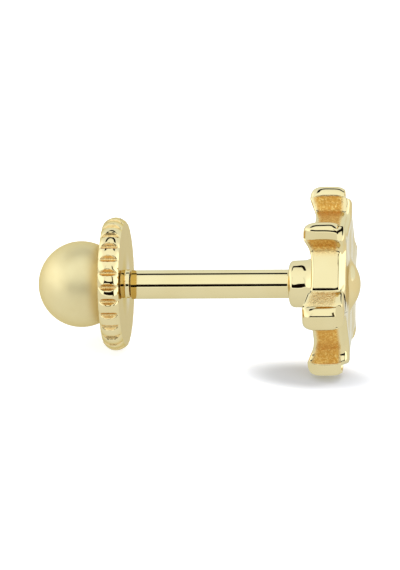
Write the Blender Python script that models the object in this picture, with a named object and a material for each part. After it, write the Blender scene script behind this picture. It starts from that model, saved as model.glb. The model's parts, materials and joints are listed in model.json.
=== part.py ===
"""A straight stud for the upper ear: a six-armed star on a hollow post, and a screw-on ball back with a
knurled grip. Metres, +Z up. The stud lies as it rests: on two arms of the star and the rim of the grip."""

import math

import bmesh
import bpy
from mathutils import Matrix, Vector

MM = 0.001

# The post's own frame: its axis is local Z, zero at the grip's inner face, and the star is at positive Z.
POST_RADIUS = 0.50 * MM
BORE_RADIUS = 0.35 * MM
BORE_DEPTH = 2.60 * MM
EAR_SPACE = 5.51 * MM

COLLAR_RADIUS = 0.825 * MM
COLLAR_LENGTH = 0.75 * MM
COLLAR_ROUND = 0.19 * MM

BALL_RADIUS = 1.505 * MM
BALL_STANDOFF = 0.853 * MM

GRIP_RADIUS = 2.33 * MM
GRIP_THICKNESS = 0.72 * MM
GRIP_CROWN = 0.467 * MM
GRIP_NOTCHES = 28
NOTCH_WIDTH = 0.18 * MM
NOTCH_DEPTH = 0.10 * MM
GRIP_TURN = math.radians(4.9)

BOSS_LENGTH = 0.16 * MM
CLEARANCE = 0.03 * MM

PIN_RADIUS = 0.32 * MM
PIN_IN_POST = 2.40 * MM
PIN_IN_BACK = 0.50 * MM
PIN_CHAMFER = 0.10 * MM

ARMS = 6
ARM_REACH = 3.25 * MM
ARM_WIDTH = 0.82 * MM
ARM_CORNER = 0.24 * MM
ARM_ROOT = 0.15 * MM
HUB_RADIUS = 2.39 * MM
STAR_THICKNESS = 1.03 * MM
STAR_EDGE = 0.17 * MM
FOOT_HEIGHT = 0.19 * MM
FOOT_START = 2.10 * MM
FOOT_END = 2.95 * MM
TIP_DROP = 0.09 * MM
TIP_DROP_START = 2.90 * MM

FACE_RISE = 0.19 * MM
FACE_TOP_RADIUS = 1.55 * MM
FACE_FOOT_RADIUS = 2.20 * MM

RIDGE_HEIGHT = 0.17 * MM
RIDGE_HALF_WIDTH = 0.43 * MM
RIDGE_ROOT = 1.15 * MM
RIDGE_START = 1.40 * MM
RIDGE_FALL = 2.72 * MM
RIDGE_END = 3.06 * MM
RIDGE_LANES = (-1.0, -0.56, -0.28, 0.0, 0.28, 0.56, 1.0)

DOME_RADIUS = 0.91 * MM
DOME_HEIGHT = 0.36 * MM
SEAT_SINK = 0.30 * MM
EDGE_SINK = 0.02 * MM

ROUND_SEGMENTS = 3 * GRIP_NOTCHES
POST_SEGMENTS = 48
ARC_STEPS = 6
FOOT_ROWS = 3
FALL_ROWS = 3
LEVEL = 0.99

# Places along the post that follow from the sizes above.
POST_START = BOSS_LENGTH + CLEARANCE
COLLAR_START = POST_START + EAR_SPACE
HUB_BACK = COLLAR_START + COLLAR_LENGTH + FOOT_HEIGHT
FOOT_PLANE = HUB_BACK - FOOT_HEIGHT
STAR_FRONT = HUB_BACK + STAR_THICKNESS
ARM_HALF = ARM_WIDTH / 2


def clear_scene():
    for old in list(bpy.data.objects):
        bpy.data.objects.remove(old)


def gold(name, colour, roughness):
    material = bpy.data.materials.new(name)
    material.use_nodes = True
    shader = material.node_tree.nodes["Principled BSDF"]
    shader.inputs["Base Color"].default_value = (*colour, 1.0)
    shader.inputs["Metallic"].default_value = 1.0
    shader.inputs["Roughness"].default_value = roughness
    return material


def add_object(name, mesh_data, material=None):
    mesh = bpy.data.meshes.new(name)
    mesh_data.to_mesh(mesh)
    mesh_data.free()
    mesh.shade_smooth()
    mesh.set_sharp_from_angle(angle=math.radians(35))
    made = bpy.data.objects.new(name, mesh)
    bpy.context.collection.objects.link(made)
    if material:
        made.data.materials.append(material)
    return made


def hide_tool(tool):
    tool.hide_render = True
    tool.display_type = "WIRE"


def arc(centre_r, centre_z, radius, start, end, steps):
    """Points (r, z) on an arc; angles in radians from the +r direction towards +z."""
    return [
        (
            centre_r + radius * math.cos(start + (end - start) * i / steps),
            centre_z + radius * math.sin(start + (end - start) * i / steps),
        )
        for i in range(steps + 1)
    ]


def turned(profile, segments):
    """A closed solid turned about Z from a profile that starts and ends on the axis."""
    bm = bmesh.new()
    verts = [bm.verts.new((max(r, 0.0), 0.0, z)) for r, z in profile]
    edges = [bm.edges.new(pair) for pair in zip(verts, verts[1:])]
    bmesh.ops.spin(
        bm,
        geom=verts + edges,
        cent=(0, 0, 0),
        axis=(0, 0, 1),
        angle=2 * math.pi,
        steps=segments,
        use_merge=True,
    )
    bmesh.ops.remove_doubles(bm, verts=bm.verts, dist=1e-8)
    bmesh.ops.recalc_face_normals(bm, faces=bm.faces)
    return bm


def back_profile():
    """The ball, the grip's crowned rim, its inner face, the boss and the pin's socket."""
    outer_face = -GRIP_THICKNESS
    ball_centre = outer_face - BALL_STANDOFF
    ball_meets = math.acos(BALL_STANDOFF / BALL_RADIUS)
    half = GRIP_THICKNESS / 2
    crown_angle = math.asin(half / GRIP_CROWN)
    socket = PIN_RADIUS + CLEARANCE
    socket_floor = POST_START - PIN_IN_BACK - 2 * CLEARANCE
    ball = arc(0, ball_centre, BALL_RADIUS, -math.pi / 2, math.pi / 2 - ball_meets, 2 * ARC_STEPS)
    rim = arc(GRIP_RADIUS - GRIP_CROWN, -half, GRIP_CROWN, -crown_angle, crown_angle, 2 * ARC_STEPS)
    end = [
        (POST_RADIUS, 0.0),
        (POST_RADIUS, BOSS_LENGTH),
        (socket, BOSS_LENGTH),
        (socket, socket_floor),
        (0.0, socket_floor),
    ]
    return ball + rim + end


def notch_cutters():
    """One triangular prism for each notch, set round the rim along the axis."""
    bm = bmesh.new()
    overhang = 2 * NOTCH_DEPTH
    spread = NOTCH_WIDTH / 2 * (NOTCH_DEPTH + overhang) / NOTCH_DEPTH
    bottom = GRIP_RADIUS - NOTCH_DEPTH
    for i in range(GRIP_NOTCHES):
        corners = [(bottom, 0.0), (GRIP_RADIUS + overhang, -spread), (GRIP_RADIUS + overhang, spread)]
        face = bm.faces.new([bm.verts.new((x, y, -1.5 * GRIP_THICKNESS)) for x, y in corners])
        made = bmesh.ops.extrude_face_region(bm, geom=[face])["geom"]
        raised = [v for v in made if isinstance(v, bmesh.types.BMVert)]
        bmesh.ops.translate(bm, verts=raised, vec=(0, 0, 2 * GRIP_THICKNESS))
        turn = Matrix.Rotation(2 * math.pi * i / GRIP_NOTCHES, 3, "Z")
        bmesh.ops.rotate(bm, verts=raised + list(face.verts), cent=(0, 0, 0), matrix=turn)
    bmesh.ops.recalc_face_normals(bm, faces=bm.faces)
    return bm


def cut(target, tool, operation):
    modifier = target.modifiers.new(f"{operation.lower()}_{tool.name}", "BOOLEAN")
    modifier.operation = operation
    modifier.solver = "EXACT"
    modifier.object = tool
    hide_tool(tool)


def make_ball_back():
    finish = gold("satin_gold", (0.86, 0.66, 0.30), 0.3)
    back = add_object("knurled_ball_back", turned(back_profile(), ROUND_SEGMENTS), finish)
    cutters = add_object("notch_cutters", notch_cutters())
    cutters.parent = back
    cut(back, cutters, "DIFFERENCE")
    return back


def make_pin():
    start = POST_START - PIN_IN_BACK
    end = POST_START + PIN_IN_POST
    profile = [
        (0.0, start),
        (PIN_RADIUS, start),
        (PIN_RADIUS, end - PIN_CHAMFER),
        (PIN_RADIUS - PIN_CHAMFER, end),
        (0.0, end),
    ]
    finish = gold("pin_gold", (0.80, 0.58, 0.26), 0.35)
    return add_object("screw_pin", turned(profile, POST_SEGMENTS // 2), finish)


def post_profile():
    """The bored post, the collar, and above the star's slab its raised face and the dome."""
    inner = COLLAR_RADIUS - COLLAR_ROUND
    collar_back = arc(inner, COLLAR_START + COLLAR_ROUND, COLLAR_ROUND, -math.pi / 2, 0, ARC_STEPS // 2)
    round_dome = arc(0, 0, 1.0, 0, math.pi / 2, ARC_STEPS)
    face_top = STAR_FRONT + FACE_RISE
    dome = [(DOME_RADIUS * r, face_top + DOME_HEIGHT * z) for r, z in round_dome]
    bore_end = POST_START + BORE_DEPTH
    post = [
        (0.0, bore_end),
        (BORE_RADIUS, bore_end),
        (BORE_RADIUS, POST_START),
        (POST_RADIUS, POST_START),
        (POST_RADIUS, COLLAR_START),
    ]
    face = [
        (COLLAR_RADIUS, HUB_BACK + SEAT_SINK),
        (FACE_FOOT_RADIUS, STAR_FRONT - SEAT_SINK),
        (FACE_FOOT_RADIUS, STAR_FRONT - EDGE_SINK),
        (FACE_TOP_RADIUS, face_top),
    ]
    return post + collar_back + face + dome


def star_outline():
    """One arm's corners, sides and root fillets, and the hub's arc to the next arm, repeated round."""
    root_v = ARM_HALF + ARM_ROOT
    root_u = math.sqrt((HUB_RADIUS + ARM_ROOT) ** 2 - root_v**2)
    root_turn = math.atan2(root_v, root_u)
    inner = ARM_REACH - ARM_CORNER
    corner = arc(inner, ARM_HALF - ARM_CORNER, ARM_CORNER, 0, math.pi / 2, ARC_STEPS)
    root = arc(root_u, root_v, ARM_ROOT, -math.pi / 2, -math.pi + root_turn, ARC_STEPS // 2)
    half_arm = corner + root
    step = 2 * math.pi / ARMS
    hub = arc(0, 0, HUB_RADIUS, root_turn, step - root_turn, 2 * ARC_STEPS)[1:-1]
    side = [(u, -v) for u, v in reversed(half_arm)] + half_arm + hub
    points = []
    for i in range(ARMS):
        c, s = math.cos(step * i), math.sin(step * i)
        points += [(u * c - v * s, u * s + v * c) for u, v in side]
    return points


def along_arm(x, y):
    """How far out a point lies along its nearest arm, and how far to the side of it."""
    step = 2 * math.pi / ARMS
    angle = math.atan2(y, x)
    turn = angle - step * round(angle / step)
    reach = math.hypot(x, y)
    return reach * math.cos(turn), reach * math.sin(turn)


def smooth(t):
    t = min(max(t, 0.0), 1.0)
    return t * t * (3 - 2 * t)


def ridge(u, v):
    """The height of the rounded ridge that runs out from the raised face along an arm."""
    rise = smooth((u - RIDGE_ROOT) / (RIDGE_START - RIDGE_ROOT))
    fall = smooth((u - RIDGE_FALL) / (RIDGE_END - RIDGE_FALL))
    return RIDGE_HEIGHT * rise * (1 - fall) * max(0.0, 1 - (v / RIDGE_HALF_WIDTH) ** 2)


def tip_drop(u):
    return TIP_DROP * smooth((u - TIP_DROP_START) / (ARM_REACH - TIP_DROP_START))


def foot(u):
    return FOOT_HEIGHT * (1 - smooth((u - FOOT_START) / (FOOT_END - FOOT_START)))


def slice_faces(bm, faces, point, normal):
    """Cuts the given faces by one plane."""
    edges = {e for f in faces for e in f.edges}
    verts = {v for f in faces for v in f.verts}
    bmesh.ops.bisect_plane(
        bm, geom=[*faces, *edges, *verts], plane_co=point, plane_no=normal, dist=1e-7
    )


def star_blank():
    bm = bmesh.new()
    face = bm.faces.new([bm.verts.new((x, y, FOOT_PLANE)) for x, y in star_outline()])
    made = bmesh.ops.extrude_face_region(bm, geom=[face])["geom"]
    raised = [v for v in made if isinstance(v, bmesh.types.BMVert)]
    bmesh.ops.translate(bm, verts=raised, vec=(0, 0, STAR_FRONT - FOOT_PLANE))
    bmesh.ops.recalc_face_normals(bm, faces=bm.faces)
    rims = [e for e in bm.edges if abs(e.verts[0].co.z - e.verts[1].co.z) < 1e-9]
    bmesh.ops.bevel(
        bm, geom=rims, offset=STAR_EDGE, affect="EDGES", segments=3, profile=0.5, material=-1, clamp_overlap=False
    )
    return bm


def faces_out_along(bm, out, reach):
    return [f for f in bm.faces if f.calc_center_median().dot(out) > reach]


def star_mesh():
    """A slab with rounded rims, whose arms are bent to their feet behind and ridged in front."""
    bm = star_blank()
    foot_rows = [FOOT_START + (FOOT_END - FOOT_START) * i / FOOT_ROWS for i in range(FOOT_ROWS)]
    fall_rows = [RIDGE_FALL + (RIDGE_END - RIDGE_FALL) * i / FALL_ROWS for i in range(FALL_ROWS + 1)]
    for i in range(ARMS):
        turn = 2 * math.pi * i / ARMS
        out = Vector((math.cos(turn), math.sin(turn), 0))
        side = Vector((-math.sin(turn), math.cos(turn), 0))
        for row in (RIDGE_ROOT, RIDGE_START):
            front = [f for f in bm.faces if f.normal.z > LEVEL]
            slice_faces(bm, front, out * row, out)
        for row in foot_rows + fall_rows:
            level = [f for f in bm.faces if abs(f.normal.z) > LEVEL]
            arm = faces_out_along(bm, out, HUB_RADIUS / 2)
            slice_faces(bm, set(level + arm), out * row, out)
        for share in RIDGE_LANES:
            front = [f for f in faces_out_along(bm, out, RIDGE_ROOT) if f.normal.z > LEVEL]
            slice_faces(bm, front, side * RIDGE_HALF_WIDTH * share, side)
    for vert in bm.verts:
        u, v = along_arm(vert.co.x, vert.co.y)
        height = (vert.co.z - FOOT_PLANE) / (STAR_FRONT - FOOT_PLANE)
        front = smooth((vert.co.z - STAR_FRONT + STAR_EDGE) / STAR_EDGE)
        vert.co.z += foot(u) * (1 - smooth(height)) + (ridge(u, v) - tip_drop(u)) * front
    bm.normal_update()
    bmesh.ops.triangulate(bm, faces=[f for f in bm.faces if len(f.verts) > 3 and not flat(f)])
    return bm


def flat(face):
    normal = face.normal
    start = face.verts[0].co
    return all(abs((v.co - start).dot(normal)) < 1e-9 for v in face.verts)


def make_star_stud():
    stud = add_object("star_stud", star_mesh(), gold("polished_gold", (0.90, 0.72, 0.36), 0.08))
    post = add_object("post_blank", turned(post_profile(), POST_SEGMENTS))
    post.parent = stud
    cut(stud, post, "UNION")
    return stud


def local_points(made):
    """The finished corners of a piece in the post's frame, before it is placed."""
    shape = made.evaluated_get(bpy.context.evaluated_depsgraph_get())
    return [made.matrix_local @ v.co for v in shape.data.vertices]


def lowest(points, lean):
    return min(p.y * math.cos(lean) + p.z * math.sin(lean) for p in points)


def resting_lean(stud, back):
    """The lean at which the star's arms and the grip's rim touch one level floor."""
    low, high = math.radians(-15), math.radians(30)
    for _ in range(50):
        middle = (low + high) / 2
        if lowest(stud, middle) < lowest(back, middle):
            low = middle
        else:
            high = middle
    return middle


def lay_down(pieces, axis):
    """Turns the post's frame so that Z points along +X, and sets its middle over the origin."""
    points = {piece.name: local_points(piece) for piece in pieces}
    lean = resting_lean(points["star_stud"], points["knurled_ball_back"])
    c, s = math.cos(lean), math.sin(lean)
    turn = Matrix(((0, -s, c), (1, 0, 0), (0, c, s)))
    world = [turn @ p for found in points.values() for p in found]
    across = [p.x for p in world]
    depth = [p.y for p in world]
    axis.rotation_euler = turn.to_euler()
    axis.location = (
        -(min(across) + max(across)) / 2,
        -(min(depth) + max(depth)) / 2,
        -min(p.z for p in world),
    )


def main():
    clear_scene()
    axis = bpy.data.objects.new("post_axis", None)
    bpy.context.collection.objects.link(axis)
    stud = make_star_stud()
    back = make_ball_back()
    pin = make_pin()
    back.rotation_euler = (0, 0, GRIP_TURN)
    pieces = (stud, back, pin)
    for piece in pieces:
        piece.parent = axis
    bpy.context.view_layer.update()
    lay_down(pieces, axis)
    bpy.context.view_layer.update()


main()
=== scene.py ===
# %% [markdown]
# # A star ear stud in yellow gold
# The stud is worn high on the ear: a star in front, a straight post, and a ball that screws on behind.
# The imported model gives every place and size. This script dresses it in finer meshes, gold and light.

# %% Load the frame
import json
import math
from collections import namedtuple

import bmesh
import bpy
from mathutils import Matrix, Vector, noise


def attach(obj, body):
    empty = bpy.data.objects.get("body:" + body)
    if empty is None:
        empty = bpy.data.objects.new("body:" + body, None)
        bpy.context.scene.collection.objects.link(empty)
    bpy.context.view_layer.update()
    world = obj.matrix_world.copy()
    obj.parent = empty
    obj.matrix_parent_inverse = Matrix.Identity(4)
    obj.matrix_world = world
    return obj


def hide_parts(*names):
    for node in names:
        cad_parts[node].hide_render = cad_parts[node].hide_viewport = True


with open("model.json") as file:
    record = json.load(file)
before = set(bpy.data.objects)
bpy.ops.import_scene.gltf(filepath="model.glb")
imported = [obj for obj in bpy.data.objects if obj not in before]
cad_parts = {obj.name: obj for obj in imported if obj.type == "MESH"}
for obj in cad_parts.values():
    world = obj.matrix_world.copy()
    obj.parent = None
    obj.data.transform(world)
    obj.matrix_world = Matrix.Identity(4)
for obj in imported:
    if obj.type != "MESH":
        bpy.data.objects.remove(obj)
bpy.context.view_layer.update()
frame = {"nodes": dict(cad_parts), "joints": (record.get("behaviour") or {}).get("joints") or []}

MM = 0.001

# %% [markdown]
# The post leans a little, because the stud lies on its star and on the rim of its grip. All pieces are
# turned shapes round the post, so they are easiest to make upright and to lay down at the end. The hinge
# of the screw-on back gives the post's axis: its zero is at the grip's inner face, the star is further up.

# %% The post's own frame
back_turn = next(joint for joint in frame["joints"] if joint["name"] == "back_turn")
along = -Vector(back_turn["axis"]).normalized()
across = Vector((0, 1, 0))
upward = along.cross(across)
post_frame = Matrix.Translation(back_turn["pos_m"]) @ Matrix((across, upward, along)).transposed().to_4x4()
print("post leans", round(math.degrees(math.asin(along.z)), 2), "degrees")

# %% [markdown]
# A long lens from far off keeps the lines nearly parallel. The camera stands a little to the star's side
# and looks down by about 24 degrees, and it is rolled until the post runs level across the picture. The
# picture is 570 dots high, with 28.62 of them to each mm of the stud, and this gives the lens.

# %% Camera
AZIMUTH = math.radians(4.2)
ELEVATION = math.radians(24.3)
POST_RISE = math.radians(0.29)
DISTANCE = 430 * MM
PIXELS_HIGH = 570
PIXELS_PER_MM = 28.62
SENSOR = 36
AIM_ALONG_POST = 2.59 * MM
AIM_BELOW_POST = 0.025 * MM

toward = Vector(
    (math.sin(AZIMUTH) * math.cos(ELEVATION), -math.cos(AZIMUTH) * math.cos(ELEVATION), math.sin(ELEVATION))
)
level_post = (along - toward * along.dot(toward)).normalized()
right = Matrix.Rotation(-POST_RISE, 3, toward) @ level_post
up = toward.cross(right)
aim = post_frame @ Vector((0, 0, AIM_ALONG_POST)) - up * AIM_BELOW_POST
lens = bpy.data.cameras.new("camera")
lens.sensor_width = SENSOR
lens.lens = SENSOR * DISTANCE / (PIXELS_HIGH / PIXELS_PER_MM * MM)
lens.clip_start = 10 * MM
lens.clip_end = 5.0
camera = bpy.data.objects.new("camera", lens)
bpy.context.collection.objects.link(camera)
turn = Matrix((right, up, toward)).transposed().to_4x4()
camera.matrix_world = Matrix.Translation(aim + toward * DISTANCE) @ turn
bpy.context.scene.camera = camera
print("lens", round(lens.lens), "mm at", round(DISTANCE / MM), "mm")

# %% [markdown]
# Polished gold shows nothing but its surroundings, so the light is built as a white tent round the stud. It
# is brightest at the sides, less so on the left, and a little darker behind. It could be made of real
# sheets, but a pattern over the directions of the sky needs no meshes. A few helpers make nodes shorter.


# %% Helpers for node trees
def add_node(tree, kind, inputs=None, **settings):
    """A node with its settings, its sockets set to values or joined to other nodes' outputs."""
    node = tree.nodes.new(kind)
    for name, value in settings.items():
        setattr(node, name, value)
    for name, value in (inputs or {}).items():
        if isinstance(value, bpy.types.NodeSocket):
            tree.links.new(value, node.inputs[name])
        else:
            node.inputs[name].default_value = value
    return node


def maths(tree, operation, first, second=0.0):
    return add_node(tree, "ShaderNodeMath", {0: first, 1: second}, operation=operation).outputs[0]


def ramp(tree, value, low, high, start=0.0, end=1.0):
    """A soft step from start to end as the value goes from low to high."""
    inputs = {"Value": value, "From Min": low, "From Max": high, "To Min": start, "To Max": end}
    return add_node(tree, "ShaderNodeMapRange", inputs, interpolation_type="SMOOTHSTEP").outputs["Result"]


def band(tree, value, low, high, edge):
    """1 between low and high, with edges this soft, and 0 elsewhere."""
    rise = ramp(tree, value, low - edge, low + edge)
    return maths(tree, "MULTIPLY", rise, ramp(tree, value, high + edge, high - edge))


def mix_colour(tree, share, first, second):
    node = add_node(tree, "ShaderNodeMix", data_type="RGBA")
    for socket, value in ((node.inputs[0], share), (node.inputs[6], first), (node.inputs[7], second)):
        if isinstance(value, bpy.types.NodeSocket):
            tree.links.new(value, socket)
        else:
            socket.default_value = value
    return node.outputs[2]


def noise_of(tree, place, scale, detail):
    inputs = {"Vector": place, "Scale": scale, "Detail": detail}
    return add_node(tree, "ShaderNodeTexNoise", inputs).outputs["Fac"]


# %% Tent walls
TENT = (1.20, 1.39, 1.55, 1)
TENT_SIDES = (1.85, 2.05, 2.25, 1)
TENT_BEHIND = (1.00, 1.18, 1.40, 1)
LEFT_SIDE = 0.55

front = Vector((math.sin(AZIMUTH), -math.cos(AZIMUTH), 0))
world = bpy.data.worlds.new("light_tent")
world.use_nodes = True
bpy.context.scene.world = world
tree = world.node_tree
tree.nodes.clear()
ray = add_node(tree, "ShaderNodeTexCoord").outputs["Generated"]
height = add_node(tree, "ShaderNodeSeparateXYZ", {0: ray}).outputs["Z"]
ahead, aside = (
    add_node(tree, "ShaderNodeVectorMath", {0: ray, 1: way}, operation="DOT_PRODUCT").outputs["Value"]
    for way in (front, (-front.y, front.x, 0))
)
sideways = maths(tree, "ABSOLUTE", aside)
walls = mix_colour(tree, ramp(tree, ahead, 0.1, -0.6), TENT, TENT_BEHIND)
low_down = ramp(tree, height, 0.75, 0.35)
sides = maths(tree, "MULTIPLY", ramp(tree, sideways, 0.55, 0.85), low_down)
on_right = ramp(tree, aside, -0.1, 0.1)
right_part = maths(tree, "MULTIPLY", on_right, ramp(tree, ahead, -0.45, -0.15))
left_part = maths(tree, "MULTIPLY", maths(tree, "SUBTRACT", 1.0, on_right), LEFT_SIDE)
sides = maths(tree, "MULTIPLY", sides, maths(tree, "ADD", right_part, left_part))
walls = mix_colour(tree, sides, walls, TENT_SIDES)
print("tent walls with", len(tree.nodes), "nodes")

# %% [markdown]
# Dark gaps between the tent's sheets draw the crisp lines that make metal look like metal: one gap low in
# front, where the camera looks in, one high up behind, and a narrow upright one on either side, faint on
# the left. The paper under the stud would show them as streaks, so it gets an even daylight instead.

# %% Dark gaps in the tent
TENT_GAP = (0.006, 0.003, 0.001, 1)
SIDE_GAP = (0.10, 0.08, 0.04, 1)
LEFT_GAP = 0.15
SIDE_GAP_TURN = (0.59, 0.79)
FRONT_GAP_HEIGHT = (0.06, 0.385)
BACK_GAP_HEIGHT = (0.79, 0.91)
DAYLIGHT = (1.12, 1.12, 1.12, 1)

side_gap = band(tree, maths(tree, "ARCTAN2", sideways, ahead), *SIDE_GAP_TURN, 0.02)
side_gap = maths(tree, "MULTIPLY", side_gap, ramp(tree, height, 0.80, 0.70))
side_gap = maths(tree, "MULTIPLY", side_gap, ramp(tree, aside, -0.1, 0.1, LEFT_GAP, 1.0))
walls = mix_colour(tree, side_gap, walls, SIDE_GAP)
front_gap = band(tree, height, *FRONT_GAP_HEIGHT, 0.015)
front_gap = maths(tree, "MULTIPLY", front_gap, ramp(tree, ahead, 0.68, 0.76))
back_gap = band(tree, height, *BACK_GAP_HEIGHT, 0.01)
back_gap = maths(tree, "MULTIPLY", back_gap, ramp(tree, ahead, -0.05, -0.12))
walls = mix_colour(tree, maths(tree, "MAXIMUM", front_gap, back_gap), walls, TENT_GAP)
on_paper = add_node(tree, "ShaderNodeLightPath").outputs["Is Diffuse Ray"]
walls = mix_colour(tree, on_paper, walls, DAYLIGHT)
background = add_node(tree, "ShaderNodeBackground", {"Color": walls, "Strength": 1.0})
add_node(tree, "ShaderNodeOutputWorld", {"Surface": background.outputs[0]})
bpy.context.scene.view_settings.view_transform = "Standard"
print("light tent with", len(tree.nodes), "nodes")

# %% [markdown]
# The floor is plain pale paper on a light table. Its glow keeps the gold's undersides bright, and it is a
# little warmer behind the star, where the star's front mirrors it. The camera sees the paper lighter still
# away from the star's foot, as in a picture whose background was cleared to white.

# %% Floor paper
PAPER_SEEN = (0.70, 0.715, 0.76, 1)
PAPER_MIRRORED = (0.10, 0.10, 0.10, 1)
GLOW_SEEN = 0.60
GLOW_MIRRORED = (0.80, 0.92, 1.02, 1)
GLOW_BEHIND = (0.85, 0.90, 0.88, 1)
BEHIND_STAR_X = (1 * MM, 4 * MM)
BEHIND_STAR_Y = (0, 4 * MM)
SHADOW_CENTRE = (4.2 * MM, -1.4 * MM)
SHADOW_SQUASH = 2.2
GLOW_GONE = 1.2 * MM
GLOW_FULL = 3.5 * MM

floor_paper = bpy.data.materials.new("floor_paper")
floor_paper.use_nodes = True
paper = floor_paper.node_tree.nodes["Principled BSDF"]
paper.inputs["Roughness"].default_value = 0.9
paper.inputs["Specular IOR Level"].default_value = 0.0
tree = floor_paper.node_tree
spots = add_node(tree, "ShaderNodeTexCoord").outputs["Object"]
fibres = noise_of(tree, spots, 400.0, 3.0)
seen = add_node(tree, "ShaderNodeLightPath").outputs["Is Camera Ray"]
tone = mix_colour(tree, seen, PAPER_MIRRORED, PAPER_SEEN)
tone = mix_colour(tree, ramp(tree, fibres, 0.0, 1.0, 0.015, 0.0), tone, (0, 0, 0, 1))
tree.links.new(tone, paper.inputs["Base Color"])
centred = (-SHADOW_CENTRE[0], -SHADOW_CENTRE[1] * SHADOW_SQUASH, 0)
around = add_node(
    tree, "ShaderNodeMapping", {"Vector": spots, "Location": centred, "Scale": (1, SHADOW_SQUASH, 1)}
).outputs["Vector"]
away = add_node(tree, "ShaderNodeVectorMath", {0: around}, operation="LENGTH").outputs["Value"]
cleared = ramp(tree, away, GLOW_GONE, GLOW_FULL)
glow = maths(tree, "MULTIPLY", maths(tree, "MULTIPLY", cleared, GLOW_SEEN), seen)
spot = add_node(tree, "ShaderNodeSeparateXYZ", {0: spots}).outputs
star_x, star_y = ramp(tree, spot["X"], *BEHIND_STAR_X), ramp(tree, spot["Y"], *BEHIND_STAR_Y)
behind = maths(tree, "MULTIPLY", star_x, star_y)
mirrored = mix_colour(tree, behind, GLOW_MIRRORED, GLOW_BEHIND)
strength = maths(tree, "ADD", glow, maths(tree, "SUBTRACT", 1.0, seen))
tree.links.new(mix_colour(tree, seen, mirrored, (1, 1, 1, 1)), paper.inputs["Emission Color"])
tree.links.new(strength, paper.inputs["Emission Strength"])
print("floor paper with", len(tree.nodes), "nodes")

# %% [markdown]
# One large grid face is the floor. A lamp high on the star's side adds the soft shadow in front of the
# star. It is hidden from reflections, so that the gold shows the tent alone.

# %% Floor and lamp
FLOOR_HALF_WIDTH = 400 * MM
FLOOR_FRONT = 70 * MM
LAMP_SIZE = 70 * MM
LAMP_POWER = 0.14
LAMP_PLACE = (0.095, 0.037, 0.23)

bm = bmesh.new()
bmesh.ops.create_grid(bm, x_segments=1, y_segments=1, size=FLOOR_HALF_WIDTH)
bmesh.ops.translate(bm, verts=bm.verts, vec=(0, FLOOR_HALF_WIDTH - FLOOR_FRONT, 0))
floor_mesh = bpy.data.meshes.new("floor")
bm.to_mesh(floor_mesh)
bm.free()
floor = bpy.data.objects.new("floor", floor_mesh)
bpy.context.collection.objects.link(floor)
floor.data.materials.append(floor_paper)

lamp_light = bpy.data.lights.new("soft_lamp", "AREA")
lamp_light.size = LAMP_SIZE
lamp_light.energy = LAMP_POWER
lamp = bpy.data.objects.new("soft_lamp", lamp_light)
lamp.location = LAMP_PLACE
lamp.visible_glossy = False
lamp.rotation_euler = (-lamp.location).to_track_quat("-Z", "Y").to_euler()
bpy.context.collection.objects.link(lamp)
print("floor", round(2 * FLOOR_HALF_WIDTH / MM), "mm wide")

# %% [markdown]
# Gold that was polished by hand is never quite even. One group makes that: slow waves that bend the
# reflections a little, and fine hairlines that vary how sharp they are. Every gold here uses it with its
# own values.


# %% Node group: hand polish
def new_group(name, inputs, outputs):
    group = bpy.data.node_groups.new(name, "ShaderNodeTree")
    for label, kind, value in inputs:
        socket = group.interface.new_socket(label, in_out="INPUT", socket_type=kind)
        socket.default_value = value
    for label, kind in outputs:
        group.interface.new_socket(label, in_out="OUTPUT", socket_type=kind)
    return group, group.nodes.new("NodeGroupInput"), group.nodes.new("NodeGroupOutput")


polish, given, result = new_group(
    "hand_polish",
    (
        ("Wave Height", "NodeSocketFloat", 0.002),
        ("Hairline Height", "NodeSocketFloat", 0.0002),
        ("Smoothest", "NodeSocketFloat", 0.05),
        ("Roughest", "NodeSocketFloat", 0.12),
    ),
    (("Height", "NodeSocketFloat"), ("Roughness", "NodeSocketFloat")),
)
place = add_node(polish, "ShaderNodeTexCoord").outputs["Object"]
waves = noise_of(polish, place, 900.0, 1.0)
stretched = add_node(polish, "ShaderNodeMapping", {"Vector": place, "Scale": (0.06, 1, 1)}).outputs["Vector"]
hairs = noise_of(polish, stretched, 22000.0, 2.0)
rubbed = noise_of(polish, place, 2500.0, 4.0)
wave_part = maths(polish, "MULTIPLY", waves, given.outputs["Wave Height"])
hair_part = maths(polish, "MULTIPLY", hairs, given.outputs["Hairline Height"])
polish.links.new(maths(polish, "ADD", wave_part, hair_part), result.inputs["Height"])
spread = add_node(
    polish,
    "ShaderNodeMapRange",
    {
        "Value": rubbed,
        "From Min": 0.3,
        "From Max": 0.7,
        "To Min": given.outputs["Smoothest"],
        "To Max": given.outputs["Roughest"],
    },
)
polish.links.new(spread.outputs["Result"], result.inputs["Roughness"])
print("group", polish.name, "has", len(polish.nodes), "nodes")

# %% [markdown]
# Metals colour what they reflect, and yellow gold takes out the blue. The tone is kept in one group too,
# with slightly redder clouds where the alloy and the handling differ.

# %% Node group: gold tone
GOLD = (0.785, 0.612, 0.318, 1)
DEEP_GOLD = (0.765, 0.585, 0.290, 1)

tone_group, given, result = new_group(
    "gold_tone",
    (("Gold", "NodeSocketColor", GOLD), ("Deep Gold", "NodeSocketColor", DEEP_GOLD)),
    (("Color", "NodeSocketColor"),),
)
place = add_node(tone_group, "ShaderNodeTexCoord").outputs["Object"]
share = ramp(tone_group, noise_of(tone_group, place, 700.0, 2.0), 0.35, 0.75)
tone = mix_colour(tone_group, share, given.outputs["Gold"], given.outputs["Deep Gold"])
tone_group.links.new(tone, result.inputs["Color"])
print("group", tone_group.name, "has", len(tone_group.nodes), "nodes")

# %% [markdown]
# Between the arms and down in the notches no polishing wheel gets in. The gold there keeps the skin it had
# from the mould: dull and grainy. Its much deeper colour is painted shade, standing in for the light that
# bounces in it many times. This group makes that skin with its painted shade, and each piece says where it
# lies with an attribute on its points.

# %% Node group: cast skin and painted shade
PAINTED_SHADE_PALE = (0.92, 0.59, 0.17, 1)
PAINTED_SHADE_DEEP = (0.70, 0.34, 0.06, 1)

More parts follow.
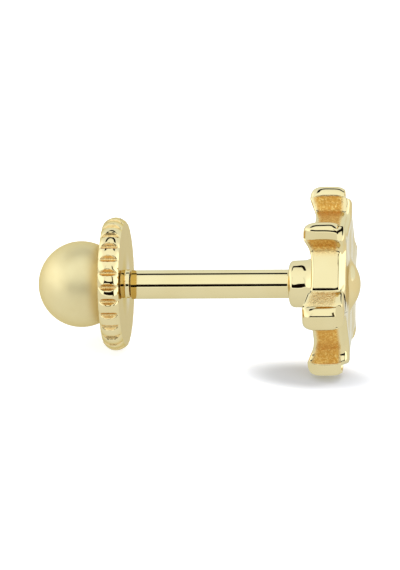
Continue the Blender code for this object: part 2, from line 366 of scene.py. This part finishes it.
skin_and_shade_group, given, result = new_group(
    "skin_and_painted_shade",
    (("Grain Size", "NodeSocketFloat", 0.07), ("Grain Height", "NodeSocketFloat", 0.02)),
    (("Color", "NodeSocketColor"), ("Height", "NodeSocketFloat"), ("Roughness", "NodeSocketFloat")),
)
place = add_node(skin_and_shade_group, "ShaderNodeTexCoord").outputs["Object"]
finer = maths(skin_and_shade_group, "DIVIDE", 1 / MM, given.outputs["Grain Size"])
inputs = {"Vector": place, "Scale": finer, "Detail": 3.0, "Distortion": 0.8}
grain = add_node(skin_and_shade_group, "ShaderNodeTexNoise", inputs).outputs["Fac"]
height_of = maths(skin_and_shade_group, "MULTIPLY", grain, given.outputs["Grain Height"])
skin_and_shade_group.links.new(height_of, result.inputs["Height"])
crests = ramp(skin_and_shade_group, grain, 0.42, 0.70)
# The colour is painted shade: deep in the grain's hollows, paler on its crests.
skin_and_shade_group.links.new(mix_colour(skin_and_shade_group, crests, PAINTED_SHADE_DEEP, PAINTED_SHADE_PALE), result.inputs["Color"])
skin_and_shade_group.links.new(ramp(skin_and_shade_group, crests, 0.0, 1.0, 0.55, 0.32), result.inputs["Roughness"])
print("group", skin_and_shade_group.name, "has", len(skin_and_shade_group.nodes), "nodes")

# %% [markdown]
# All the metal is one alloy, but each part was finished in its own way: the post polished bright, the star
# too but with skin and painted shade between its arms, the grip polished with a little skin and painted shade
# left in its notches, the ball brushed to a satin, the pin left as it came from the lathe. So one function
# makes the gold, and five calls give it their values.


# %% Gold materials
def group_node(tree, group, **values):
    node = add_node(tree, "ShaderNodeGroup", node_tree=group)
    for name, value in values.items():
        node.inputs[name.replace("_", " ")].default_value = value
    return node


def mix_value(tree, share, first, second):
    step_up = maths(tree, "SUBTRACT", second, first)
    inputs = {0: share, 1: step_up, 2: first}
    return add_node(tree, "ShaderNodeMath", inputs, operation="MULTIPLY_ADD").outputs[0]


WARM_EDGE = (0.75, 0.62, 0.35, 1)
PALE_EDGE = (0.80, 0.76, 0.64, 1)
SATIN_TONES = ((0.80, 0.635, 0.335, 1), (0.78, 0.61, 0.31, 1))
PIN_TONES = ((0.70, 0.52, 0.25, 1), (0.62, 0.44, 0.20, 1))


def gold_material(name, wave, hairline, smoothest, roughest, tone=None, skin=None, edge=WARM_EDGE):
    """Solid gold with its own polish; lengths in mm. With skin, an attribute mixes in the cast skin and its
    painted shade.
    """
    material = bpy.data.materials.new(name)
    material.use_nodes = True
    tree = material.node_tree
    shader = tree.nodes["Principled BSDF"]
    shader.inputs["Metallic"].default_value = 1.0
    shader.inputs["Specular Tint"].default_value = edge
    tones = group_node(tree, tone_group)
    if tone:
        tones.inputs["Gold"].default_value, tones.inputs["Deep Gold"].default_value = tone
    finish = group_node(
        tree, polish, Wave_Height=wave, Hairline_Height=hairline, Smoothest=smoothest, Roughest=roughest
    )
    colour, height, rough = tones.outputs["Color"], finish.outputs["Height"], finish.outputs["Roughness"]
    if skin:
        skin_and_shade = group_node(tree, skin_and_shade_group, Grain_Size=skin[0], Grain_Height=skin[1])
        share = add_node(tree, "ShaderNodeAttribute", attribute_name="skin_and_shade").outputs["Fac"]
        # The attribute mixes in the skin's painted shade colour, its grain and its roughness.
        colour = mix_colour(tree, share, colour, skin_and_shade.outputs["Color"])
        height = mix_value(tree, share, height, skin_and_shade.outputs["Height"])
        rough = mix_value(tree, share, rough, skin_and_shade.outputs["Roughness"])
    bump = add_node(tree, "ShaderNodeBump", {"Height": height, "Distance": MM})
    tree.links.new(colour, shader.inputs["Base Color"])
    tree.links.new(rough, shader.inputs["Roughness"])
    tree.links.new(bump.outputs["Normal"], shader.inputs["Normal"])
    return material


polished_gold = gold_material("polished_gold", 0.002, 0.0001, 0.03, 0.07, edge=PALE_EDGE)
star_gold = gold_material("star_gold", 0.002, 0.0001, 0.03, 0.08, skin=(0.075, 0.035), edge=PALE_EDGE)
grip_gold = gold_material("grip_gold", 0.001, 0.0001, 0.03, 0.08, skin=(0.05, 0.01))
satin_gold = gold_material("satin_gold", 0.004, 0.0008, 0.46, 0.54, SATIN_TONES)
pin_gold = gold_material("pin_gold", 0.002, 0.0004, 0.15, 0.25, PIN_TONES)
print("golds:", polished_gold.name, star_gold.name, grip_gold.name, satin_gold.name, pin_gold.name)

# %% [markdown]
# The post with its collar is turned on a lathe, so it is a half outline spun round the axis. An outline
# needs only its corners and a few arcs. A spin with merged ends closes the solid.


# %% Helpers for turned pieces
def arc(centre, radius, start, end, steps):
    """Points (r, z) on an arc; angles in degrees from the +r direction towards +z."""
    points = []
    for i in range(steps + 1):
        angle = math.radians(start + (end - start) * i / steps)
        points.append((centre[0] + radius * math.cos(angle), centre[1] + radius * math.sin(angle)))
    return points


def spun(outline, steps):
    """A closed solid turned about the post's axis from points (r, z) in mm."""
    bm = bmesh.new()
    verts = [bm.verts.new((max(r, 0) * MM, 0, z * MM)) for r, z in outline]
    edges = [bm.edges.new(pair) for pair in zip(verts, verts[1:])]
    bmesh.ops.spin(
        bm, geom=verts + edges, cent=(0, 0, 0), axis=(0, 0, 1), angle=2 * math.pi, steps=steps, use_merge=True
    )
    bmesh.ops.remove_doubles(bm, verts=bm.verts, dist=1e-8)
    bmesh.ops.recalc_face_normals(bm, faces=bm.faces)
    return bm


def count_open(bm):
    return sum(1 for edge in bm.edges if len(edge.link_faces) != 2)


def finish_piece(name, bm, material, body, sharp=40, replaced=()):
    """Lays a finished mesh into its place and hands it to its body."""
    bmesh.ops.transform(bm, matrix=post_frame, verts=bm.verts)
    open_edges = count_open(bm)
    mesh = bpy.data.meshes.new(name)
    bm.to_mesh(mesh)
    bm.free()
    mesh.shade_smooth()
    mesh.set_sharp_from_angle(angle=math.radians(sharp))
    mesh.materials.append(material)
    piece = bpy.data.objects.new(name, mesh)
    bpy.context.collection.objects.link(piece)
    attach(piece, body)
    if replaced:
        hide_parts(*replaced)
    print(name, len(mesh.polygons), "faces,", open_edges, "open edges")


def soft(t):
    """0 up to 0, 1 from 1 on, and a smooth rise between."""
    t = min(max(t, 0.0), 1.0)
    return t * t * (3 - 2 * t)


# %% Post and collar
POST_START = 0.19
POST_RADIUS = 0.508
POST_EDGE = 0.03
BORE_RADIUS = 0.35
BORE_END = 2.79
BORE_POINT = 0.1
COLLAR_START = 5.74
COLLAR_RADIUS = 0.825
COLLAR_ROUND = 0.19
COLLAR_FILLET = 0.05
FLARE_START = 0.49
FLARE_RADIUS = 0.50
FOOT_RADIUS = 1.03
FOOT_ROUND = 0.12
HUB_BACK = 6.70
FOOT_SINK = 0.2
TURNED_STEPS = 144
SOLDER_WAVES = (1600, 0.014)
SOLDER_DENTS = (4500, 0.006)

post_outline = [(0, BORE_END), (BORE_RADIUS, BORE_END - BORE_POINT), (BORE_RADIUS, POST_START + POST_EDGE)]
post_outline += [(BORE_RADIUS + POST_EDGE, POST_START), (POST_RADIUS - POST_EDGE, POST_START)]
post_outline += arc((POST_RADIUS - POST_EDGE, POST_START + POST_EDGE), POST_EDGE, -60, 0, 3)
post_outline += arc((POST_RADIUS + COLLAR_FILLET, COLLAR_START - COLLAR_FILLET), COLLAR_FILLET, 180, 90, 5)
post_outline += arc((COLLAR_RADIUS - COLLAR_ROUND, COLLAR_START + COLLAR_ROUND), COLLAR_ROUND, -90, 0, 10)
post_outline += [(COLLAR_RADIUS, COLLAR_START + 0.26 + 0.06 * i) for i in range(4)]
post_outline += arc((COLLAR_RADIUS + FLARE_RADIUS, COLLAR_START + FLARE_START), FLARE_RADIUS, 180, 155, 8)
post_outline += arc((FOOT_RADIUS, HUB_BACK - FOOT_ROUND), FOOT_ROUND, 150, 90, 6)
post_outline += [(FOOT_RADIUS, HUB_BACK + FOOT_SINK), (0, HUB_BACK + FOOT_SINK)]
bm = spun(post_outline, TURNED_STEPS)
for vert in bm.verts:
    on_collar = soft((vert.co.z / MM - COLLAR_START) / 0.2) * soft((vert.co.xy.length / MM - 0.6) / 0.2)
    wave = sum(noise.noise(vert.co * scale) * size for scale, size in (SOLDER_WAVES, SOLDER_DENTS))
    vert.co.xy *= 1 + wave * on_collar / COLLAR_RADIUS
finish_piece("post_and_collar", bm, polished_gold, "stud")

# %% [markdown]
# The back is a ball soldered to a knurled disc. The ball is brushed to a satin, the disc is polished, so
# they are two pieces. The disc's rim is crowned, and its notches are pressed in across it: the spin gives
# many columns, and each column is drawn in by how near it lies to a notch. The notches keep a little skin,
# with painted shade in them.

# %% Ball
GRIP_THICKNESS = 0.72
BALL_RADIUS = 1.505
BALL_STANDOFF = 0.853
BALL_END = [(1.24, -0.70), (0, -0.70)]
BALL_STEPS = 192
PICTURE_UP = Vector((0.41, 0.91, 0))
BACK_RISE = PICTURE_UP * 0.03 * MM

ball_outline = arc((0, -GRIP_THICKNESS - BALL_STANDOFF), BALL_RADIUS, -90, 34.5, 60) + BALL_END
bm = spun(ball_outline, BALL_STEPS)
bmesh.ops.translate(bm, verts=bm.verts, vec=BACK_RISE)
finish_piece("satin_ball", bm, satin_gold, "back")

# %% Knurled grip
GRIP_RADIUS = 2.33
GRIP_CROWN = 0.467
FLAT_RING = 2.05
BOSS_FILLET = ((0.56, 0.06), 0.06)
BOSS_EDGE = ((0.47, 0.13), 0.03)
SOCKET = [(0.36, 0.16), (0.35, 0.13), (0.35, -0.37), (0, -0.37)]
NOTCHES = 28
# Share of skin with painted shade in the notches.
NOTCH_HALF = 0.13
NOTCH_DEPTH = 0.145
NOTCH_SKIN_AND_SHADE = 0.55
LAND_FALL = 0.03
RIM_FROM = 1.6
GRIP_TURN = math.radians(4.9)
GRIP_LEAN = -0.026
COLUMNS = 26

half = GRIP_THICKNESS / 2
crown = math.degrees(math.asin(half / GRIP_CROWN))
toward_in_post = Vector((toward.dot(across), toward.dot(upward), 0)).normalized()
grip_outline = [(0, -GRIP_THICKNESS), (FLAT_RING, -GRIP_THICKNESS)]
grip_outline += arc((GRIP_RADIUS - GRIP_CROWN, -half), GRIP_CROWN, -crown, crown, 26)
grip_outline += [(FLAT_RING, 0), (1.2, 0), (0.56, 0)]
grip_outline += arc(*BOSS_FILLET, 270, 180, 4) + arc(*BOSS_EDGE, 0, 60, 3) + SOCKET
bm = spun(grip_outline, NOTCHES * COLUMNS)
skin_and_shade = bm.verts.layers.float.new("skin_and_shade")
pitch = 2 * math.pi / NOTCHES
half_pitch = pitch / 2 * GRIP_RADIUS
for vert in bm.verts:
    radius = vert.co.xy.length / MM
    if radius > RIM_FROM:
        angle = math.atan2(vert.co.y, vert.co.x)
        from_notch = abs((angle + pitch / 2) % pitch - pitch / 2) * GRIP_RADIUS
        groove = GRIP_RADIUS - NOTCH_DEPTH * (1 - (from_notch / NOTCH_HALF) ** 2)
        rounded = radius - LAND_FALL * ((half_pitch - from_notch) / half_pitch) ** 2
        # The notches get the skin and its painted shade.
        vert[skin_and_shade] = NOTCH_SKIN_AND_SHADE * soft((rounded - groove) / 0.03)
        vert.co.xy *= min(rounded, groove) / radius
bmesh.ops.rotate(bm, verts=bm.verts, cent=(0, 0, 0), matrix=Matrix.Rotation(GRIP_TURN, 3, "Z"))
for vert in bm.verts:
    vert.co.z += GRIP_LEAN * vert.co.dot(toward_in_post)
bmesh.ops.translate(bm, verts=bm.verts, vec=BACK_RISE)
finish_piece("knurled_grip", bm, grip_gold, "back", sharp=32, replaced=["knurled_ball_back"])

# %% [markdown]
# The star was cast in one piece. One sixth of it is enough to model: a six-sided block with one corner cut
# flat, and an arm drawn out of that cut. Bevels round its corners, roots and rims before any finer cut is
# made, because a bevel needs long clean edges. The helpers pick those edges out.


# %% Helpers for edges and cuts
def is_wall(face):
    return abs(face.normal.z) < 0.5


def upright(edge):
    return abs((edge.verts[0].co - edge.verts[1].co).normalized().z) > 0.9


def round_edges(bm, edges, offset, segments):
    round_profile = {"affect": "EDGES", "profile": 0.5, "material": -1, "clamp_overlap": False}
    bmesh.ops.bevel(bm, geom=edges, offset=offset * MM, segments=segments, **round_profile)


def cut_all(bm, point, normal, **clear):
    geom = [*bm.faces, *bm.edges, *bm.verts]
    bmesh.ops.bisect_plane(bm, geom=geom, plane_co=point, plane_no=normal, dist=0.012 * MM, **clear)


def level_rim(bm, level):
    flat = [e for e in bm.edges if all(abs(v.co.z - level * MM) < 1e-7 for v in e.verts)]
    return [e for e in flat if any(is_wall(f) for f in e.link_faces)]


# %% One arm of the star
ARMS = 6
ARM_STEP = 2 * math.pi / ARMS
HALF_SECTOR = math.pi / ARMS
HUB_FLAT = 2.35
HUB_CORNER = HUB_FLAT / math.cos(HALF_SECTOR)
ARM_HALF_WIDTH = 0.415
ARM_REACH = 3.29
TIP_TAPER = 0.95
TIP_ROUND = 0.27
ROOT_ROUND = 0.15
FRONT_ROUND = 0.09
FOOT_EDGE = 0.11
FOOT_PLANE = 6.43
STAR_FRONT = 7.74
MIDDLE = (STAR_FRONT + FOOT_PLANE) / 2
HALF_THICK = (STAR_FRONT - FOOT_PLANE) / 2

bm = bmesh.new()
hub_block = {"radius1": HUB_CORNER * MM, "radius2": HUB_CORNER * MM, "depth": (STAR_FRONT - FOOT_PLANE) * MM}
bmesh.ops.create_cone(bm, cap_ends=True, segments=ARMS, **hub_block)
bmesh.ops.rotate(bm, verts=bm.verts, cent=(0, 0, 0), matrix=Matrix.Rotation(HALF_SECTOR, 3, "Z"))
bmesh.ops.translate(bm, verts=bm.verts, vec=(0, 0, MIDDLE * MM))
first_corner = [e for e in bm.edges if upright(e) and e.verts[0].co.x > 2.5 * MM]
round_edges(bm, first_corner, ARM_HALF_WIDTH / math.cos(HALF_SECTOR), 1)
root = [f for f in bm.faces if is_wall(f) and f.calc_center_median().xy.normalized().x > 0.985]
drawn = bmesh.ops.extrude_face_region(bm, geom=root)["geom"]
bmesh.ops.delete(bm, geom=[f for f in root if f.is_valid], context="FACES")
for vert in (v for v in drawn if isinstance(v, bmesh.types.BMVert)):
    vert.co.x = ARM_REACH * MM
    vert.co.y *= TIP_TAPER
corners = [e for e in bm.edges if upright(e) and e.verts[0].co.x > 3.2 * MM and e.calc_face_angle() > 0.6]
round_edges(bm, corners, TIP_ROUND, 6)
roots = [e for e in bm.edges if upright(e) and 2.4 * MM < e.verts[0].co.x < 2.6 * MM]
round_edges(bm, roots, ROOT_ROUND, 5)
round_edges(bm, level_rim(bm, STAR_FRONT), FRONT_ROUND, 3)
round_edges(bm, level_rim(bm, FOOT_PLANE), FOOT_EDGE, 3)
print("one arm:", len(bm.faces), "faces,", count_open(bm), "open edges")

# %% [markdown]
# The swelled form will be made by pushing points, so the metal first needs enough of them. The block is cut
# down to one sixth and sliced along and across the arm, with more rows at the neck, beside the flats and
# through the thickness, where the form turns quickest. Spinning the sixth gives the whole star.

# %% Grid and whole star
GRID = 0.09
NECK_ROWS = (2.84, 2.87, 2.91, 2.94)
FLAT_ROW = 0.055
BESIDE_FLAT = (0.34, 0.04)
LAYERS = (0.16, 0.10)
SEAM = 0.004

for sign in (1, -1):
    cut_all(bm, (0, 0, 0), (-math.sin(HALF_SECTOR), sign * math.cos(HALF_SECTOR), 0), clear_outer=True)
for k in range(1, int(ARM_REACH / GRID)):
    cut_all(bm, (k * GRID * MM, 0, 0), (1, 0, 0))
for u in NECK_ROWS:
    cut_all(bm, (u * MM, 0, 0), (1, 0, 0))
for k in range(-15, 16):
    cut_all(bm, (0, k * GRID * MM, 0), (0, 1, 0))
for sign in (1, -1):
    flat_side = Vector((math.cos(HALF_SECTOR), sign * math.sin(HALF_SECTOR), 0))
    along_flat = flat_side.cross((0, 0, 1))
    for k in range(1, 7):
        cut_all(bm, flat_side * (HUB_FLAT - k * FLAT_ROW) * MM, flat_side)
    for k in range(7):
        cut_all(bm, along_flat * sign * (BESIDE_FLAT[0] + k * BESIDE_FLAT[1]) * MM, along_flat)
for k in range(10):
    cut_all(bm, (0, 0, (FOOT_PLANE + LAYERS[0] + k * LAYERS[1]) * MM), (0, 0, 1))
five_more = {"angle": 2 * math.pi * (ARMS - 1) / ARMS, "steps": ARMS - 1, "use_duplicate": True}
sixth = [*bm.verts, *bm.edges, *bm.faces]
bmesh.ops.spin(bm, geom=sixth, cent=(0, 0, 0), axis=(0, 0, 1), **five_more)
bmesh.ops.remove_doubles(bm, verts=bm.verts, dist=SEAM * MM)
bmesh.ops.recalc_face_normals(bm, faces=bm.faces)
bmesh.ops.smooth_vert(bm, verts=bm.verts, factor=0.5, use_axis_x=True, use_axis_y=True, use_axis_z=True)
bm.normal_update()
print("star:", len(bm.faces), "faces,", count_open(bm), "open edges")

# %% [markdown]
# How far a point is pushed depends on where it lies, so every point is measured first: its arm, how far out
# along it and how far to its side, the valley between two arms that it faces, and its level between the
# star's back and front. The measures are kept, because the pushing would spoil them.

# %% Where each point lies
Spot = namedtuple("Spot", "arm u v r angle valley valley_angle depth z side wall")


def locate(vert):
    """In mm: u out along the nearest arm, v to its side, r from the axis, depth towards the valley."""
    angle = math.atan2(vert.co.y, vert.co.x)
    arm = round(angle / ARM_STEP)
    off = angle - ARM_STEP * arm
    r = vert.co.xy.length / MM
    angle %= 2 * math.pi
    valley = int(angle / ARM_STEP) % ARMS
    valley_angle = (valley + 0.5) * 2 * math.pi / ARMS
    depth = r * math.cos(angle - valley_angle)
    z = vert.co.z / MM
    side = (z - MIDDLE) / HALF_THICK
    wall = 1 - soft((abs(vert.normal.z) - 0.15) / 0.3)
    u, v = r * math.cos(off), r * math.sin(off)
    return Spot(arm % ARMS, u, v, r, angle, valley, valley_angle, depth, z, side, wall)


spots = [locate(vert) for vert in bm.verts]
print("star:", len(spots), "points, up to", round(max(spot.r for spot in spots), 2), "mm from the axis")

# %% [markdown]
# No wheel got at the arms' flanks and the floors between them, so they keep the skin of the mould, all but a
# strip along the rims, and the skin carries painted shade. Each valley gets its own share of skin and painted
# shade, and one is left shining like the rims.

# %% Cast skin and painted shade in the valleys
# Each valley's polish: 1 is polished bright, lower values give it more skin and painted shade.
VALLEY_POLISH_AND_SHADE = (0.2, 0.1, 1.0, 0.0, 0.6, 0.9)
SKIN_FROM = {(2, 1): 2.32, (3, -1): 4.0}
SKIN_START = 2.16
SKIN_END = 2.94
MOUTH = 2.62
FRONT_STRIP = 0.68
BACK_STRIP = 0.70


def between_rims(spot):
    return (1 - soft((spot.side - FRONT_STRIP) / 0.12)) * (1 - soft((-spot.side - BACK_STRIP) / 0.12))


skin_and_shade = bm.verts.layers.float.new("skin_and_shade")
for vert, spot in zip(bm.verts, spots):
    skin_start = SKIN_FROM.get((spot.arm, 1 if spot.v > 0 else -1), SKIN_START)
    on_arm = soft((spot.u - skin_start) / 0.22) * (1 - soft((spot.u - SKIN_END) / 0.08))
    flank = on_arm * soft((abs(spot.v) - 0.2) / 0.15)
    mouth = soft((MOUTH - spot.r) / 0.12) * (1 - VALLEY_POLISH_AND_SHADE[spot.valley])
    # Flanks and valley mouths get the skin and its painted shade.
    vert[skin_and_shade] = spot.wall * max(flank, mouth) * between_rims(spot)
print("skin on", sum(1 for vert in bm.verts if vert[skin_and_shade] > 0.5), "points")

# %% [markdown]
# The face is raised in its middle and along a rib on each arm, with shallow hollows between the ribs, and it
# falls away at the tips. A low dome sits on it, blended in at its foot. At the back only the tips stand out
# as feet. All this moves points along the post only, so it is one push in height.

# %% Raised face and dome
FACE_RISE = 0.15
FACE_EDGE = 2.03
RIB_END = 2.70
RIB_HALF_WIDTH = 0.5
TIP_DROP = (0.20, 0.16, 0.31, 0.36, 0.24, 0.20)
PETAL_DEPTH = 0.03
DOME_HEIGHT = 0.34
DOME_RADIUS = 0.88
DOME_BLEND = 0.03
DOME_FALL = 0.08
BACK_LIFT = 0.26
HEAD_LEAN = 0.012

for vert, spot in zip(bm.verts, spots):
    hub = 1 - soft((spot.depth - FACE_EDGE) / 0.30)
    ridge = (1 - soft((spot.u - RIB_END) / 0.38)) * max(0.0, 1 - (spot.v / RIB_HALF_WIDTH) ** 2)
    swell = FACE_RISE * (1 - (1 - hub) * (1 - ridge)) - TIP_DROP[spot.arm] * soft((spot.u - 2.85) / 0.45)
    on_face = soft((spot.r - 0.8) / 0.5) * (1 - soft((spot.depth - 1.7) / 0.3))
    swell -= PETAL_DEPTH * (on_face * (1 - math.cos(ARMS * spot.angle)) / 2)
    from_dome = (vert.co.xy / MM + PICTURE_UP.xy * DOME_FALL).length / DOME_RADIUS
    dome = DOME_BLEND * math.log1p(math.exp(DOME_HEIGHT * (1 - from_dome**2) / DOME_BLEND))
    front_share = soft((spot.z - STAR_FRONT + 0.12) / 0.12)
    lifted = BACK_LIFT * (1 - soft((spot.u - 2.10) / 0.85))
    back_share = 1 - soft((spot.z - FOOT_PLANE) / (2 * HALF_THICK))
    lean = HEAD_LEAN * vert.co.dot(PICTURE_UP)
    vert.co.z += (lifted * back_share + (swell + dome) * front_share) * MM + lean
print("front at", round(max(vert.co.z for vert in bm.verts) / MM, 2), "mm along the post")

# %% [markdown]
# The polished valley is the one that faces up and towards the camera. A wedge of metal fills its corner with
# one arm, up to a slanted plane, and its floor is crowned. Both are soft, so they catch the light as one
# bent surface.

# %% Polished valley
POLISHED_VALLEY = 2
WEDGE_ARM = 3
WEDGE_WAY = Vector((math.cos(math.radians(112.7)), math.sin(math.radians(112.7))))
WEDGE_PLANE = 1.52
# Share of skin with painted shade on the wedge.
WEDGE_SKIN_AND_SHADE = 0.33

for vert, spot in zip(bm.verts, spots):
    if spot.valley == POLISHED_VALLEY:
        along_floor = spot.r * math.sin(spot.angle - spot.valley_angle)
        fall = 0.12 * along_floor**2 if along_floor < 0 else 0.54 * along_floor**4.9
        fall *= soft((spot.depth - 1.8) / 0.5) * (1 - soft((spot.u - 2.45) / 0.3))
        floor_way = Vector((math.cos(spot.valley_angle), math.sin(spot.valley_angle)))
        vert.co.xy -= floor_way * fall * MM
        inside = max(HUB_FLAT - spot.depth, ARM_HALF_WIDTH - abs(spot.v))
        missing = max(0.0, WEDGE_PLANE - WEDGE_WAY.dot(vert.co.xy) / MM) if spot.arm == WEDGE_ARM else 0.0
        filled = missing * (1 - soft(inside / 0.5)) * (1 - soft((spot.u - 2.85) / 0.25))
        vert.co.xy += WEDGE_WAY * filled * MM
        # The wedge gets a little skin and its painted shade.
        vert[skin_and_shade] = max(vert[skin_and_shade], WEDGE_SKIN_AND_SHADE * spot.wall * between_rims(spot) * soft(filled / 0.04))
print("polished valley:", sum(1 for spot in spots if spot.valley == POLISHED_VALLEY), "points")

# %% [markdown]
# Last come the arms. Their tips swell like cushions and narrow towards the back, the rim between the arms is
# rounded off, and the skinned flanks are sunk a little. No two arms of a cast piece are quite alike, so each
# has its own turn, reach, width and swelling. A faint noise keeps any face from being quite flat. Blender
# seeds that noise by the clock, so a seed is set to get the same star in each run.

# %% Arms swelled and bent
ARM_TURNS = (0.0, 0.5, -0.7, 1.3, 0.4, -0.8)
ARM_EXTRA = (0.0, 0.06, 0.02, 0.0, 0.0, 0.04)
ARM_WIDTH = (1.0, 1.0, 0.93, 1.08, 1.0, 1.0)
TIP_BULGE = (0.12, 0.10, 0.13, 0.04, 0.14, 0.12)
TIP_CROWN = (0.0, 0.0, 0.11, 0.0, 0.0, 0.0)
BACK_ROUND = (0.25, 0.25, 0.35, 0.30, 0.30, 0.25)
RIM_ROUND = 0.06
SKIN_SUNK = 0.045
HEAD_RISE = 0.055
CASTING_NOISE = 1300
CASTING_SEED = 1

noise.seed_set(CASTING_SEED)
for vert, spot in zip(bm.verts, spots):
    arm, u, v, side = spot.arm, spot.u, spot.v, spot.side
    tip = soft((u - 2.75) / 0.45)
    cushion = (v - TIP_CROWN[arm]) / 0.39
    steeper = 2 if cushion * TIP_CROWN[arm] > 0 else 1
    bulge = tip * (0.20 * side**4 + TIP_BULGE[arm] * cushion**2 * steeper)
    off_arm = 1 - soft((u - 2.35) / 0.3)
    rounded_rim = RIM_ROUND * max(0.0, side * 2 - 1) ** 2 * off_arm * soft((spot.depth - 2.0) / 0.3)
    reach = ARM_EXTRA[arm] * soft((u - 2.3) / 0.8) - bulge - rounded_rim
    back = BACK_ROUND[arm] * tip * max(0.0, -side * 1.4 - 0.4) ** 2
    wider = v * ((ARM_WIDTH[arm] - 1) * soft((u - 2.2) / 0.6) - back)
    sunk = SKIN_SUNK * vert[skin_and_shade] * soft((u - 2.2) / 0.2) * (1 if v > 0 else -1)
    arm_angle = arm * 2 * math.pi / ARMS
    out = Vector((math.cos(arm_angle), math.sin(arm_angle), 0))
    beside = Vector((-out.y, out.x, 0))
    vert.co += (out * reach + beside * (wider - sunk)) * MM
    turned = math.radians(ARM_TURNS[arm]) * soft(u - 2.0)
    vert.co = Matrix.Rotation(turned, 3, "Z") @ vert.co
    vert.co += noise.noise_vector(vert.co * CASTING_NOISE) * (0.002 + 0.006 * spot.wall) * MM
bmesh.ops.translate(bm, verts=bm.verts, vec=PICTURE_UP * HEAD_RISE * MM)
finish_piece("star", bm, star_gold, "stud", sharp=75, replaced=["star_stud"])

# %% [markdown]
# The pin inside the ball is hidden until the back is unscrewed. Its thread is a fine helix: the outline has
# many steps along the pin, and each point is drawn in by how far round and along it lies.

# %% Threaded pin
THREAD_PITCH = 0.20
THREAD_DEPTH = 0.035
THREAD_STEPS = 8
PIN_CHAMFER = 0.06
PIN_STEPS = 48

to_post = post_frame.inverted()
pin_points = [to_post @ v.co for v in frame["nodes"]["screw_pin"].data.vertices]
pin_start = min(p.z for p in pin_points) / MM
pin_end = max(p.z for p in pin_points) / MM
pin_radius = max(p.xy.length for p in pin_points) / MM
print("pin from", round(pin_start, 3), "to", round(pin_end, 3), "mm, radius", round(pin_radius, 3))
step = THREAD_PITCH / THREAD_STEPS
rows = int((pin_end - pin_start - PIN_CHAMFER) / step)
pin_outline = [(0, pin_start), (pin_radius, pin_start)]
pin_outline += [(pin_radius, pin_start + step * i) for i in range(1, rows)]
pin_outline += [(pin_radius, pin_end - PIN_CHAMFER), (pin_radius - PIN_CHAMFER, pin_end), (0, pin_end)]
bm = spun(pin_outline, PIN_STEPS)
for vert in bm.verts:
    if vert.co.xy.length > 0.99 * pin_radius * MM:
        turns = vert.co.z / (THREAD_PITCH * MM) - math.atan2(vert.co.y, vert.co.x) / (2 * math.pi)
        flute = abs(2 * (turns % 1) - 1)
        vert.co.xy *= 1 - THREAD_DEPTH * soft(flute * 1.6 - 0.3) / pin_radius
finish_piece("threaded_pin", bm, pin_gold, "pin", sharp=60, replaced=["screw_pin"])
